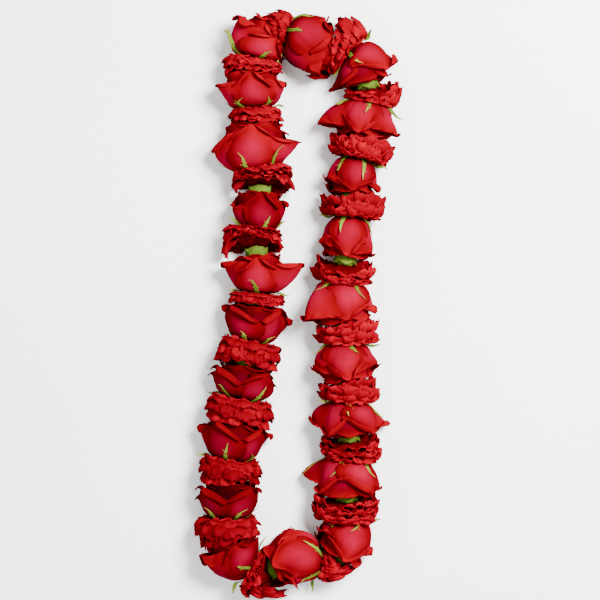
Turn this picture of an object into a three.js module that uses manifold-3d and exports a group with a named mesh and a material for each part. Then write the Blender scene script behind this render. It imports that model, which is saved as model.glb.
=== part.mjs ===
// A fresh flower lei, laid flat in a long loop: 21 red roses and 21 red carnations, one after the other,
// threaded lengthways on one tied thread. Every flower faces clockwise as seen from above.
// Millimetres, +Z up, the loop's length along Y. The lei rests on the plane z = 0.
import * as THREE from "three";
import { mergeVertices } from "three/addons/utils/BufferGeometryUtils.js";
import Module from "manifold-3d";

const wasm = await Module();
wasm.setup();

// Driving dimensions.
const AXIS_HEIGHT = 18.5; // the thread's height above the surface
const SOFT_HEIGHT = 9; // below this, petals are pressed together by the surface
const SOFT_SHARE = 0.6; // what is left of a height below SOFT_HEIGHT
const THREAD_RADIUS = 0.8;
const THREAD_SIDES = 4;
const THREAD_STEPS = 2; // stations between two neighbouring flowers
const KNOT_RADIUS = 2.4;
const CLEARANCE = 0.35; // between two nodes that lie against each other
const ROD_SIDES = 5;
const NECK_RADIUS = 3.4; // green heart round the thread, inside the flowers
const HIP_RADIUS = 6.2;
const CALYX_RADIUS = 8;
const HIP_ROOM = 3.6; // from a carnation's cup to the next rose's lowest petals
const SHOULDER_ROOM = 3; // from a carnation's front rim to the next rose's shoulder
const ROSE_RISE = 4.6; // how far a rose's upper petal tips stand out past its belly
const FRILL_RISE = 1.8; // how much further a carnation reaches upward than sideways
const CARNATION_MERIDIANS = 18;
const PAIRS_IN_A_RUN = 3; // roses and carnations whose green parts hold together as one body
const SEED = 7;

// Each rose: the place of its centre, its belly's radius, its petal tips on the loop's inner and outer side (how
// far each reaches from the thread, and mm past the rose's centre), its roll in degrees, its sepals (the azimuth
// of the first, and their length's share of the usual), and whether a seam between two petals faces up.
const ROSES = [
  { at: [-52, -212], belly: 21, inner: [25, 4], outer: [26, 9], roll: 8, sepals: [90, 0.7] },
  { at: [-59, -166], belly: 21.5, inner: [26.5, 10], outer: [26, -2], roll: -6, sepals: [50, 0.7], seam: true },
  { at: [-55, -116], belly: 22, inner: [29, 11], outer: [32, 8], roll: 10, sepals: [74, 1], seam: true },
  { at: [-46, -66], belly: 22.5, inner: [28, -1], outer: [28, 1], roll: -10, sepals: [60, 1.1], seam: true },
  { at: [-37, -14], belly: 21.5, inner: [29.5, 4], outer: [28, 12], roll: 5, sepals: [65, 0.6], seam: true },
  { at: [-34, 26], belly: 20, inner: [39, 6], outer: [30, 13], roll: -4, sepals: [16, 1.2] },
  { at: [-34, 80], belly: 19, inner: [25, 8], outer: [21, 0], roll: 12, sepals: [33, 1.2] },
  { at: [-37, 134], belly: 25, inner: [37, -2], outer: [36, -1], roll: -8, sepals: [62, 1.1] },
  { at: [-39, 181], belly: 22, inner: [29, 6], outer: [29, 6], roll: 4, sepals: [54, 0.6] },
  { at: [-33.5, 220], belly: 21.5, inner: [25, -7], outer: [27.5, 6], roll: 15, sepals: [40, 0.9] },
  { at: [16, 220], belly: 22, inner: [26, 4], outer: [26, 9], roll: -12, sepals: [28, 1] },
  { at: [52.5, 203], belly: 20.5, inner: [34, 10], outer: [31, 8], roll: 6, sepals: [21, 0.9], seam: true },
  { at: [56, 156], belly: 22, inner: [41, 8], outer: [29, 9], roll: 14, sepals: [20, 1] },
  { at: [46, 107], belly: 18, inner: [21, 0], outer: [22, 12], roll: -9, sepals: [64, 1.3] },
  { at: [42, 57], belly: 18.5, inner: [23, 6], outer: [22, 11], roll: 3, sepals: [40, 1.2] },
  { at: [37, 3], belly: 22.5, inner: [36, 10], outer: [27, 14], roll: -12, sepals: [55, 1] },
  { at: [40, -48], belly: 22, inner: [28, 2], outer: [27, 4], roll: 9, sepals: [12, 0.7], seam: true },
  { at: [42, -96], belly: 21, inner: [33, 1], outer: [35, 9], roll: -3, sepals: [12, 1.2], seam: true },
  { at: [41, -144], belly: 22.5, inner: [37, 0], outer: [29, 13], roll: 7, sepals: [42, 1.2], seam: true },
  { at: [40.5, -192], belly: 20, inner: [20, 3], outer: [25, 11], roll: -14, sepals: [60, 0.7] },
  { at: [-5.5, -215], belly: 19, inner: [26, -3], outer: [26, 6], roll: 11, sepals: [60, 1.1] },
];
// Each carnation, which follows the rose of the same number: its place, how far its frill reaches on the loop's
// inner and outer side, how far the frill's upper side sweeps forward off its calyx, and the room it takes on the
// thread behind its centre, up to the rose's petal tips, and ahead of it, up to its own front rim. At the loop's
// corners the next rose's shoulder has more room.
const CARNATIONS = [
  { at: [-59, -190], inner: 25, outer: 29, sweep: 0, rear: 9, front: 9 },
  { at: [-58, -141], inner: 25.5, outer: 26.5, sweep: 0, rear: 8.5, front: 9.5 },
  { at: [-50, -90], inner: 28, outer: 29, sweep: 0, rear: 9, front: 10 },
  { at: [-42, -41], inner: 26, outer: 27, sweep: 0, rear: 9.5, front: 10 },
  { at: [-35, 5], inner: 23, outer: 24, sweep: 0, rear: 5, front: 4.5 },
  { at: [-36, 54], inner: 20, outer: 29, sweep: 6, rear: 11, front: 9 },
  { at: [-33, 106], inner: 28, outer: 23, sweep: 3, rear: 9.5, front: 9 },
  { at: [-38, 160], inner: 24, outer: 19, sweep: 0, rear: 6, front: 6, room: 3.6 },
  { at: [-39, 203], inner: 25, outer: 24, sweep: 0, rear: 6, front: 5 },
  { at: [-15, 234], inner: 15, outer: 15, sweep: 0, rear: 7, front: 6.5, room: 5.5 },
  { at: [37, 217], inner: 22, outer: 27, sweep: 0, rear: 8.4, front: 8 },
  { at: [60, 180], inner: 20, outer: 27, sweep: 4, rear: 8, front: 7 },
  { at: [52, 133], inner: 25, outer: 27.5, sweep: 0, rear: 9, front: 9 },
  { at: [45, 84], inner: 25.5, outer: 27, sweep: 0, rear: 9.5, front: 9.5 },
  { at: [39, 30], inner: 25.5, outer: 25, sweep: 5, rear: 9.5, front: 9.5 },
  { at: [40, -24], inner: 25, outer: 28, sweep: 0, rear: 8.5, front: 7.5 },
  { at: [43, -73], inner: 25.5, outer: 25.5, sweep: 0, rear: 8, front: 8 },
  { at: [43, -120], inner: 23, outer: 28, sweep: 3, rear: 8, front: 9.5 },
  { at: [41, -171], inner: 28, outer: 27, sweep: 2, rear: 8.5, front: 11 },
  { at: [27, -218], inner: 13, outer: 17, sweep: 0, rear: 7.8, front: 7.5, room: 6 },
  { at: [-29, -225], inner: 17, outer: 25, sweep: 3, rear: 8.5, front: 9.6, room: 5.5 },
];

// A repeatable random number from 0 to 1 for each pair of whole numbers.
function draw(a, b) {
  let x = (SEED * 7919 + a * 104729 + b * 1299709) % 4294967296;
  for (let i = 0; i < 3; i++) x = (x * 1103 + 12345) % 4294967296;
  return x / 4294967296;
}

const radians = THREE.MathUtils.degToRad;
const UP = new THREE.Vector3(0, 0, 1);

// The thread's centre line runs through every flower's centre, carnation after rose.
const centres = ROSES.flatMap((rose, i) => [
  new THREE.Vector3(...rose.at, AXIS_HEIGHT),
  new THREE.Vector3(...CARNATIONS[i].at, AXIS_HEIGHT),
]);
const COUNT = centres.length;
const threadLine = new THREE.CatmullRomCurve3(centres, true, "catmullrom", 0.5);
const wrap = (i) => (i + COUNT) % COUNT;
const spacing = centres.map((p, i) => p.distanceTo(centres[wrap(i + 1)]));

// The share of the thread's loop that lies `offset` mm past the centre of flower i.
function shareAt(i, offset) {
  const gap = offset < 0 ? spacing[wrap(i - 1)] : spacing[wrap(i)];
  return (i + offset / gap + COUNT) / COUNT;
}

// How far to the left of the thread a point comes to lie that would be `left` mm off a straight one. On the inside
// of a bend, petals are squeezed short of the bend's centre.
function squeezed(left, share) {
  const [a, b] = [-BEND_STEP, BEND_STEP].map((step) => (share + step / COUNT + 1) % 1);
  const [from, to] = [threadLine.getTangent(a), threadLine.getTangent(b)];
  const bend = new THREE.Vector3().crossVectors(from, to).z;
  const span = threadLine.getPoint(a).distanceTo(threadLine.getPoint(b));
  const limit = (BEND_ROOM * span) / Math.max(Math.abs(bend), 1e-6);
  const start = 0.7 * limit;
  const past = (left * Math.sign(bend) - start) / (limit - start);
  return past > 0 ? Math.sign(bend) * (start + ((limit - start) * past) / (1 + past)) : left;
}
const BEND_STEP = 0.1; // in flowers, either side of where the bend is measured
const BEND_ROOM = 0.88; // the share of a bend's radius that its inner side's petals can fill

// A point of a flower: `along` mm past its centre on the thread, and `out` mm off the thread at an azimuth:
// 0 is the loop's outer side, and 90 degrees is up. The flower bends with the thread.
function place(flower, along, out, azimuth) {
  const share = shareAt(flower, along);
  const ahead = threadLine.getTangent(share % 1);
  const side = new THREE.Vector3().crossVectors(UP, ahead);
  return threadLine
    .getPoint(share % 1)
    .addScaledVector(side, squeezed(out * Math.cos(azimuth), share))
    .addScaledVector(UP, out * Math.sin(azimuth));
}

function pressed(p) {
  if (p.z < SOFT_HEIGHT) p.z = SOFT_HEIGHT - (SOFT_HEIGHT - p.z) * SOFT_SHARE;
  return p;
}

function geometryOf(points, triangles) {
  const positions = new Float32Array(points.flatMap((p) => [p.x, p.y, p.z]));
  return new THREE.BufferGeometry()
    .setAttribute("position", new THREE.BufferAttribute(positions, 3))
    .setIndex(triangles.flat());
}

function solidOf(geometry) {
  const bare = geometry.clone();
  bare.deleteAttribute("normal");
  bare.deleteAttribute("uv");
  const merged = mergeVertices(bare, 1e-4);
  return new wasm.Manifold(
    new wasm.Mesh({
      numProp: 3,
      vertProperties: merged.attributes.position.array,
      triVerts: new Uint32Array(merged.index.array),
    }),
  );
}

function largestBody(solid) {
  return solid.decompose().reduce((a, b) => (b.volume() > a.volume() ? b : a));
}

function meshOf(name, solid, material) {
  const found = solid.getMesh();
  const geometry = new THREE.BufferGeometry()
    .setAttribute("position", new THREE.BufferAttribute(found.vertProperties, 3))
    .setIndex(new THREE.BufferAttribute(found.triVerts, 1));
  const mesh = new THREE.Mesh(geometry, material);
  mesh.name = name;
  return mesh;
}

// A closed tube through rings of points, with flat ends. A ring of one point is a tip.
function loft(rings) {
  const points = rings.flat();
  const starts = rings.map((_, k) => rings.slice(0, k).reduce((n, r) => n + r.length, 0));
  const triangles = [];
  const sides = rings[0].length;
  for (let k = 0; k + 1 < rings.length; k++) {
    for (let j = 0; j < sides; j++) {
      const [a, b] = [starts[k] + j, starts[k] + ((j + 1) % sides)];
      if (rings[k + 1].length === 1) {
        triangles.push([a, b, starts[k + 1]]);
      } else {
        const [c, d] = [starts[k + 1] + j, starts[k + 1] + ((j + 1) % sides)];
        triangles.push([a, b, d], [a, d, c]);
      }
    }
  }
  const last = starts[rings.length - 1];
  for (let j = 1; j + 1 < sides; j++) {
    triangles.push([0, j + 1, j]);
    if (rings.at(-1).length > 1) triangles.push([last, last + j, last + j + 1]);
  }
  return solidOf(geometryOf(points, triangles));
}

// A closed ring-shaped solid round the thread. Its section at each meridian is a closed loop of `rows` points.
function ringSolid(meridians, rows, pointAt) {
  const points = [];
  const triangles = [];
  for (let m = 0; m < meridians; m++) {
    for (let k = 0; k < rows; k++) {
      points.push(pointAt(m, k));
      const next = ((m + 1) % meridians) * rows;
      const [a, b] = [m * rows + k, m * rows + ((k + 1) % rows)];
      const [c, d] = [next + k, next + ((k + 1) % rows)];
      triangles.push([a, c, d], [a, d, b]);
    }
  }
  return solidOf(geometryOf(points, triangles));
}

// A rose's length on the thread, in mm past its centre: its lowest petals, its shoulder and its petal tips.
function extentOf(i) {
  const behind = spacing[wrap(2 * i - 1)];
  const { front, room = SHOULDER_ROOM } = CARNATIONS[(i + ROSES.length - 1) % ROSES.length];
  return {
    base: CUP * front + HIP_ROOM - behind,
    shoulder: front + room - behind,
    tip: spacing[2 * i] - CARNATIONS[i].rear,
  };
}

// The petals of a rose's outer layer. Petal k's middle is at `start` + k * 72 degrees.
function petalsOf(i) {
  const { belly, inner, outer, roll, seam } = ROSES[i];
  const { base, shoulder, tip } = extentOf(i);
  const start = 90 + roll - (seam ? 180 / PETALS : 0);
  const innerPetal = seam ? 2 : 1;
  const turn = (petal, u) => radians(start + (360 / PETALS) * (petal + u / 2));
  const sideTip = (petal, [reach, along]) => [
    reach / Math.abs(Math.cos(turn(petal, PETAL_POINT))),
    Math.min(along, tip - 1),
  ];
  const shapes = Array.from({ length: PETALS }, (_, k) => {
    let [reach, along] = [belly + ROSE_RISE, tip - 0.5 - 3 * draw(i, k)];
    if (k === innerPetal) [reach, along] = sideTip(k, inner);
    if (k === PETALS - 1) [reach, along] = sideTip(k, outer);
    const crest = 1 + 1.6 * draw(i, k + 10);
    return { belly, base, shoulder, tip, lap: 1.1, reach: reach - belly * 0.95, droop: tip - along, crest };
  });
  return { start, turn, shapes };
}

// A bloom's rows from its hole over its outer petals to their rim, and back in over the inner petals. Each gives
// mm off the thread and mm along it at `u`, which runs across an outer petal from -1 to 1.
function bloomRow(row, shape, u) {
  const { belly, base, shoulder, tip, lap, reach, droop, crest } = shape;
  const crown = 1 - (Math.abs(u - PETAL_POINT) / (u < PETAL_POINT ? 1.2 : 1.05)) ** 1.4;
  const rim = tip - droop * crown - 1.2 * (1 - crown);
  const between = Math.abs(u) ** 2;
  return [
    [4.3, base + 0.4],
    [belly * 0.84, shoulder],
    [belly + lap * u + reach * 0.34 * crown, shoulder + (rim - shoulder) * 0.38],
    [belly * 1.01 + lap * u + reach * 0.74 * crown, shoulder + (rim - shoulder) * 0.74],
    [belly * 0.95 + lap * u + reach * crown, rim],
    [belly * 0.84, shoulder + (tip - shoulder) * 0.78],
    [belly * 0.6, tip - 2.2 + crest * between],
    [7, tip - 8.6],
  ][row];
}
const BLOOM_ROWS = 8;
const PETALS = 5;
const PETAL_POINT = 0.06; // where across a petal its pointed tip is
const PETAL_MERIDIANS = [-0.96, -0.42, PETAL_POINT, 0.96];

function rose(i) {
  const { turn, shapes } = petalsOf(i);
  return ringSolid(PETALS * PETAL_MERIDIANS.length, BLOOM_ROWS, (m, row) => {
    const petal = Math.floor(m / PETAL_MERIDIANS.length);
    const u = PETAL_MERIDIANS[m % PETAL_MERIDIANS.length];
    const [out, along] = bloomRow(row, shapes[petal], u);
    return pressed(place(2 * i, along, out, turn(petal, u)));
  });
}

// A carnation's head as rings round its axis, from its hole over its under side to its upper side: mm off the
// thread, or a share of its reach, the share of its room behind or ahead of its centre, how far its pleats go to
// and fro, and its teeth.
const CUP = 0.27; // the middle of a carnation's upper side, as a share of the room ahead of its centre
const FRILL_ROWS = [
  { out: 4.2, back: 0.19, pleat: 0 },
  { out: 8.5, back: 0.7, pleat: 0 },
  { share: 0.94, back: 0.78, pleat: 1.5, tooth: 1.1 },
  { share: 1, ahead: 0.12, pleat: 1.6, tooth: 0.6 },
  { share: 0.92, ahead: 1, pleat: 1.8, tooth: 1.3 },
  { out: 7.7, ahead: CUP, pleat: 0.6 },
];

function carnation(i) {
  const { inner, outer, sweep, rear, front } = CARNATIONS[i];
  return ringSolid(CARNATION_MERIDIANS, FRILL_ROWS.length, (m, row) => {
    const { out, share, back, ahead, pleat, tooth } = FRILL_ROWS[row];
    const azimuth = (2 * Math.PI * (m + 0.35 * (draw(i + 40, m) - 0.5))) / CARNATION_MERIDIANS;
    const sign = m % 2 ? 1 : -1;
    const rise = FRILL_RISE * Math.max(0, Math.sin(azimuth));
    const reach = (inner + outer) / 2 + ((outer - inner) / 2) * Math.cos(azimuth) + rise;
    const radius = share ? reach * share + sign * tooth - 1.6 * draw(i + 60, m * 7 + row) : out;
    const forward = row === 2 ? sweep * Math.max(0, Math.sin(azimuth)) : 0;
    const along = back ? forward - back * rear : ahead * front;
    const fold = Math.min(pleat, 0.07 * reach, back ? 0.13 * rear : 0.18 * (front + 2));
    return pressed(place(2 * i + 1, along + sign * fold, radius, azimuth));
  });
}

// Stations of the green heart of rose i and of the carnation after it: flower, mm past its centre, radius.
function heartStations(i) {
  const { base } = extentOf(i);
  const { rear } = CARNATIONS[i];
  return [
    [2 * i, base - 4, NECK_RADIUS],
    [2 * i, base - 3, HIP_RADIUS],
    [2 * i, base - 1, HIP_RADIUS],
    [2 * i, base, NECK_RADIUS],
    [2 * i + 1, -10 - rear, NECK_RADIUS],
    [2 * i + 1, -8 - rear, HIP_RADIUS],
    [2 * i + 1, -0.77 * rear, CALYX_RADIUS],
    [2 * i + 1, -0.61 * rear, NECK_RADIUS],
  ];
}

function rodThrough(stations) {
  const turn = (2 * Math.PI) / ROD_SIDES;
  return loft(
    stations.map(([flower, offset, radius]) =>
      Array.from({ length: ROD_SIDES }, (_, k) => place(flower, offset, radius, k * turn)),
    ),
  );
}

// A rose's outer petals at an azimuth, from the shoulder to the rim: [mm off the thread, mm past its centre].
function bloomSide(i, azimuth) {
  const { start, shapes } = petalsOf(i);
  const petal = (THREE.MathUtils.radToDeg(azimuth) - start) / (360 / PETALS);
  const nearest = Math.round(petal);
  const shape = { ...shapes[(nearest + 2 * PETALS) % PETALS], lap: 0 };
  return [1, 2, 3, 4].map((row) => {
    const [out, along] = bloomRow(row, shape, 2 * (petal - nearest));
    return [out + (row > 1 ? 1.1 : 0), along];
  });
}

// A sepal: a narrow three-sided blade from the hip, out over the bloom's shoulder, to a fine tip that stands a
// little off the petals. The ones below the bloom are short.
function sepal(i, azimuth, wanted) {
  const { base } = extentOf(i);
  const sides = [0, 0.1].map((turn) => bloomSide(i, azimuth + turn));
  const [shoulder, knee, high, rim] = sides[0].map(([, at], k) => [Math.max(sides[0][k][0], sides[1][k][0]), at]);
  const length = Math.min(wanted, 0.7 * (rim[1] - shoulder[1]));
  const stations = [
    { along: base - 2.6, out: 4.4, half: 2.4 },
    { along: shoulder[1] - 1, out: shoulder[0], half: 2.4 },
  ].map(({ along, out, half }) => [
    place(2 * i, along - 0.5, out, azimuth - half / out),
    place(2 * i, along - 0.5, out, azimuth + half / out),
    place(2 * i, along + 0.4, out, azimuth),
  ]);
  const slopes = [knee, high].map(([out, at]) => (out + 1.3 - shoulder[0]) / (at - shoulder[1] + 1));
  const slope = length + shoulder[1] > knee[1] ? Math.max(...slopes) : slopes[0];
  const tip = place(2 * i, shoulder[1] + length, shoulder[0] + slope * (length + 1), azimuth + 0.1);
  return loft([...stations, [tip]].map((ring) => ring.map(pressed)));
}

function greenRun(run) {
  const first = run * PAIRS_IN_A_RUN;
  const pairs = Array.from({ length: PAIRS_IN_A_RUN }, (_, k) => first + k);
  let green = rodThrough(pairs.flatMap(heartStations));
  pairs.forEach((i) => {
    const [turn, share] = ROSES[i].sepals;
    for (let k = 0; k < 5; k++) {
      const azimuth = radians(turn + 72 * k + 12 * (draw(i + 80, k) - 0.5));
      const below = Math.sin(azimuth) < -0.3;
      green = green.add(sepal(i, azimuth, below ? 3 : share * (7 + 5 * draw(i + 90, k))));
    }
  });
  return green;
}

// The closed thread, or the channel that it runs in where `radius` is wider.
function alongThread(radius) {
  return solidOf(new THREE.TubeGeometry(threadLine, COUNT * THREAD_STEPS, radius, THREAD_SIDES, true));
}

// The knot that ties the thread, inside the last carnation.
function knot() {
  return rodThrough([
    [COUNT - 1, -3, 1.4],
    [COUNT - 1, -1.6, KNOT_RADIUS],
    [COUNT - 1, -0.4, KNOT_RADIUS],
    [COUNT - 1, 1, 1.4],
  ]);
}

const RED_ROSE = new THREE.MeshStandardMaterial({ color: 0xb3091f, roughness: 0.55, metalness: 0 });
const RED_CARNATION = new THREE.MeshStandardMaterial({ color: 0xd0101c, roughness: 0.7, metalness: 0 });
const GREEN = new THREE.MeshStandardMaterial({ color: 0x7c9a2e, roughness: 0.6, metalness: 0 });
const THREAD = new THREE.MeshStandardMaterial({ color: 0xe8e4d4, roughness: 0.8, metalness: 0 });

const aboveSurface = solidOf(new THREE.BoxGeometry(800, 800, 200).translate(0, 0, 100));
const channel = alongThread(THREAD_RADIUS + CLEARANCE);
const number = (i) => String(i + 1).padStart(2, "0");

const lei = new THREE.Group();
lei.name = "lei";
ROSES.forEach((_, i) => {
  const bloom = largestBody(rose(i).intersect(aboveSurface));
  lei.add(meshOf(`rose_${number(i)}`, bloom, RED_ROSE));
  const frill = largestBody(carnation(i).intersect(aboveSurface));
  lei.add(meshOf(`carnation_${number(i)}`, frill, RED_CARNATION));
});
for (let run = 0; run * PAIRS_IN_A_RUN < ROSES.length; run++) {
  const green = largestBody(greenRun(run).subtract(channel).intersect(aboveSurface));
  lei.add(meshOf(`greens_${number(run)}`, green, GREEN));
}
lei.add(meshOf("thread", alongThread(THREAD_RADIUS).add(knot()), THREAD));

// The origin is the middle of the lei's outline, on the surface that it rests on.
const middle = new THREE.Box3().setFromObject(lei).getCenter(new THREE.Vector3());
lei.position.set(-middle.x, -middle.y, 0);

export default lei;
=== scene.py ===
# A fresh flower lei, laid flat: roses and carnations strung lengthways on one thread. Every bloom gets its
# petals, its hip and sepals or its calyx. Lengths are in mm until a mesh is made.
import math
from collections import namedtuple

import bpy
import numpy as np
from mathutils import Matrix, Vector


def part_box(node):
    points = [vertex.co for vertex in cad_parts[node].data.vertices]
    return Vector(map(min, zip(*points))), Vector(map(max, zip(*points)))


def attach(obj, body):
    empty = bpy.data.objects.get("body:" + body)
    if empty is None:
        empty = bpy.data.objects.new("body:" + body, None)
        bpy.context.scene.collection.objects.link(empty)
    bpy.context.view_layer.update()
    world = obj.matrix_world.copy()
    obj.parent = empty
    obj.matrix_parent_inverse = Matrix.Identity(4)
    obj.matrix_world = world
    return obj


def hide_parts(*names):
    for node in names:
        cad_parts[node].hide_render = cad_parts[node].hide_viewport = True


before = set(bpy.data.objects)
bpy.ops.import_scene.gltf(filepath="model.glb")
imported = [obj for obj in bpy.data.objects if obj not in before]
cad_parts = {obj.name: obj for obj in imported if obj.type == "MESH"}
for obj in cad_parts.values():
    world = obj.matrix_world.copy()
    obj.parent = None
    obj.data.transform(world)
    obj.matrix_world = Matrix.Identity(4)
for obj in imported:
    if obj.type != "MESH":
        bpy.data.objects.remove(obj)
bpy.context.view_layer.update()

AXIS_HEIGHT = 18.5  # the thread's height above the surface
SEED = 7
CUP = 0.27  # where the next rose's hip sits in a carnation, as a share of the frill's front half
HIP_ROOM = 3.6  # from there to that rose's lowest petals
UP = np.array([0.0, 0.0, 1.0])

# Each rose: its centre's place, its belly's radius, its tips on the loop's inner and outer side (reach from
# the thread, and mm past the rose's centre), its roll in degrees, whether a seam between two petals faces up
# in place of a petal, its sepals (the first one's azimuth in degrees, and their length as a share of the
# usual one), and how far its red is from the usual one (below 0 is darker). That shade is partly the rose's
# own tone and partly painted light: darker on the loop's left strand, brighter on its right strand and
# bottom.
Rose = namedtuple("Rose", "at belly inner outer roll seam sepals shade")
ROSES = [
    Rose((-52, -212), 21, (25, 4), (26, 9), 8, False, (90, 0.7), -0.07),
    Rose((-59, -166), 21.5, (26.5, 10), (26, -2), -6, True, (50, 0.7), -0.52),
    Rose((-55, -116), 22, (29, 11), (32, 8), 10, True, (74, 1), -0.27),
    Rose((-46, -66), 22.5, (28, -1), (28, 1), -10, True, (60, 1.1), -0.47),
    Rose((-37, -14), 21.5, (29.5, 4), (28, 12), 5, True, (65, 0.6), -0.17),
    Rose((-34, 26), 20, (39, 6), (30, 13), -4, False, (16, 1.2), 0.13),
    Rose((-34, 80), 19, (25, 8), (21, 0), 12, False, (33, 1.2), -0.27),
    Rose((-37, 134), 25, (37, -2), (36, -1), -8, False, (62, 1.1), 0.23),
    Rose((-39, 181), 22, (29, 6), (29, 6), 4, False, (54, 0.6), 0.23),
    Rose((-33.5, 220), 21.5, (25, -7), (27.5, 6), 15, False, (40, 0.9), 0.33),
    Rose((16, 220), 22, (26, 4), (26, 9), -12, False, (28, 1), 0.13),
    Rose((52.5, 203), 20.5, (34, 10), (31, 8), 6, True, (21, 0.9), 0.03),
    Rose((56, 156), 22, (41, 8), (29, 9), 14, False, (20, 1), 0.27),
    Rose((46, 107), 18, (21, 0), (22, 12), -9, False, (64, 1.3), 0.07),
    Rose((42, 57), 18.5, (23, 6), (22, 11), 3, False, (40, 1.2), 0.22),
    Rose((37, 3), 22.5, (36, 10), (27, 14), -12, False, (55, 1), 0.47),
    Rose((40, -48), 22, (28, 2), (27, 4), 3, False, (12, 0.7), 0.22),
    Rose((42, -96), 21, (33, 1), (35, 9), -3, True, (12, 1.2), 0.22),
    Rose((41, -144), 22.5, (37, 0), (29, 13), 7, True, (42, 1.2), 0.22),
    Rose((40.5, -192), 20, (20, 3), (25, 11), -14, False, (60, 0.7), 0.42),
    Rose((-5.5, -215), 19, (26, -3), (26, 6), 11, False, (60, 1.1), 0.32),
]
# Each carnation: its place, its frill's reach on the loop's inner and outer side, how far the frill's upper
# side sweeps forward off the calyx, how far the frill goes behind and ahead of its centre, the room between
# its front and the next rose's shoulder, and its shade as above, partly its own tone and partly painted
# light.
Carnation = namedtuple("Carnation", "at inner outer sweep rear front room shade")
CARNATIONS = [
    Carnation((-59, -190), 25, 29, 0, 9, 9, 3, -0.22),
    Carnation((-58, -141), 25.5, 26.5, 0, 8.5, 9.5, 3, -0.27),
    Carnation((-50, -90), 28, 29, 0, 9, 10, 3, -0.07),
    Carnation((-42, -41), 26, 27, 0, 9.5, 10, 3, -0.07),
    Carnation((-35, 5), 23, 24, 0, 5, 4.5, 3, 0.03),
    Carnation((-36, 54), 20, 29, 6, 11, 9, 3, 0.13),
    Carnation((-33, 106), 28, 23, 3, 9.5, 9, 3, 0.13),
    Carnation((-38, 160), 24, 19, 0, 6, 6, 3.6, 0.13),
    Carnation((-39, 203), 25, 24, 0, 6, 5, 3, 0.28),
    Carnation((-15, 234), 15, 15, 0, 7, 6.5, 5.5, 0.13),
    Carnation((37, 217), 22, 27, 0, 8.4, 8, 3, 0.13),
    Carnation((60, 180), 20, 27, 4, 8, 7, 3, 0.13),
    Carnation((52, 133), 25, 27.5, 0, 9, 9, 3, 0.22),
    Carnation((45, 84), 25.5, 27, 0, 9.5, 9.5, 3, 0.02),
    Carnation((39, 30), 25.5, 25, 5, 9.5, 9.5, 3, 0.22),
    Carnation((40, -24), 25, 28, 0, 8.5, 7.5, 3, 0.22),
    Carnation((43, -73), 25.5, 25.5, 0, 8, 8, 3, 0.12),
    Carnation((43, -120), 23, 28, 3, 8, 9.5, 3, 0.12),
    Carnation((41, -171), 28, 27, 2, 8.5, 11, 3, 0.12),
    Carnation((27, -218), 13, 17, 0, 7.8, 7.5, 6, 0.12),
    Carnation((-29, -225), 17, 25, 3, 8.5, 9.6, 5.5, 0.12),
]
FLOWERS = 2 * len(ROSES)
CENTRES = [(*flower.at, AXIS_HEIGHT) for pair in zip(ROSES, CARNATIONS) for flower in pair]
CENTRES = np.array(CENTRES, float)
SPACING = np.linalg.norm(np.roll(CENTRES, -1, axis=0) - CENTRES, axis=1)  # from each flower to the next
# Each kind of petal draws its shapes with numbers of its own.
HEART_SEED, FRILL_SEED, SEPAL_SEED = 900, 3000, 5000


def draw(a, b):
    """A repeatable random number from 0 to 1 for each pair of whole numbers."""
    x = (SEED * 7919 + a * 104729 + b * 1299709) % 2**32
    for _ in range(3):
        x = (x * 1103 + 12345) % 2**32
    return x / 2**32


def draw_phase(a, b):
    """A repeatable random phase in radians, up to about a full turn."""
    return 6.28 * draw(a, b)


def smooth(x, low, high):
    """A smooth step, from 0 at low to 1 at high."""
    t = np.clip((x - low) / (high - low), 0, 1)
    return t * t * (3 - 2 * t)


def thread_line(t):
    """Points of the thread's closed centre line, and its headings. t counts flowers."""
    t = np.asarray(t, float) % FLOWERS
    i = np.floor(t).astype(int)
    w = (t - i)[..., None]
    p0, p1, p2, p3 = (CENTRES[(i + k) % FLOWERS] for k in (-1, 0, 1, 2))
    t0, t1 = (p2 - p0) / 2, (p3 - p1) / 2
    c2 = 3 * (p2 - p1) - 2 * t0 - t1
    c3 = 2 * (p1 - p2) + t0 + t1
    heading = t0 + 2 * c2 * w + 3 * c3 * w**2
    return p1 + t0 * w + c2 * w**2 + c3 * w**3, heading / np.linalg.norm(heading, axis=-1, keepdims=True)


def offset_to_frame():
    """From the places in the lists above to the frame, whose origin is the middle of the lei's outline."""
    line = thread_line(np.linspace(0, FLOWERS, 2 * FLOWERS, endpoint=False))[0]
    low, high = (np.array(corner) * 1000 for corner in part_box("thread"))
    return np.array([*((low + high)[:2] - line.min(0)[:2] - line.max(0)[:2]) / 2, 0])


TO_FRAME = offset_to_frame()

SOFT_HEIGHT, SOFT_SHARE = 9, 0.6  # petals below this height are pressed to this share of their depth
FLAT_FROM, FLAT_LAST = -4, 0.35  # those that would hang lower than this lie flat, down to this height


def pressed(p):
    """Petals as the surface under the lei presses them."""
    z = p[..., 2]
    soft = SOFT_HEIGHT - (SOFT_HEIGHT - z) * SOFT_SHARE
    start = SOFT_HEIGHT - (SOFT_HEIGHT - FLAT_FROM) * SOFT_SHARE - FLAT_LAST
    flat = FLAT_LAST + start * np.exp(np.minimum(z - FLAT_FROM, 0) * SOFT_SHARE / start)
    p[..., 2] = np.where(z > SOFT_HEIGHT, z, np.where(z > FLAT_FROM, soft, flat))
    return p


BEND_STEP = 0.1  # a bend is measured this far on either side, in flowers
BEND_ROOM = 0.88  # the share of the way to a bend's centre that petals fill


def squeezed(left, t):
    """How far to the left of the thread a point lies that would be `left` mm off a straight one: on the
    inside of a bend, petals are squeezed short of the bend's centre."""
    (p, a), (q, b) = thread_line(t - BEND_STEP), thread_line(t + BEND_STEP)
    bend = a[..., 0] * b[..., 1] - a[..., 1] * b[..., 0]
    limit = BEND_ROOM * np.linalg.norm(q - p, axis=-1) / np.maximum(np.abs(bend), 1e-6)
    start = 0.7 * limit
    past = np.maximum((left * np.sign(bend) - start) / (limit - start), 0)
    return np.where(past > 0, np.sign(bend) * (start + (limit - start) * past / (1 + past)), left)


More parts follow.
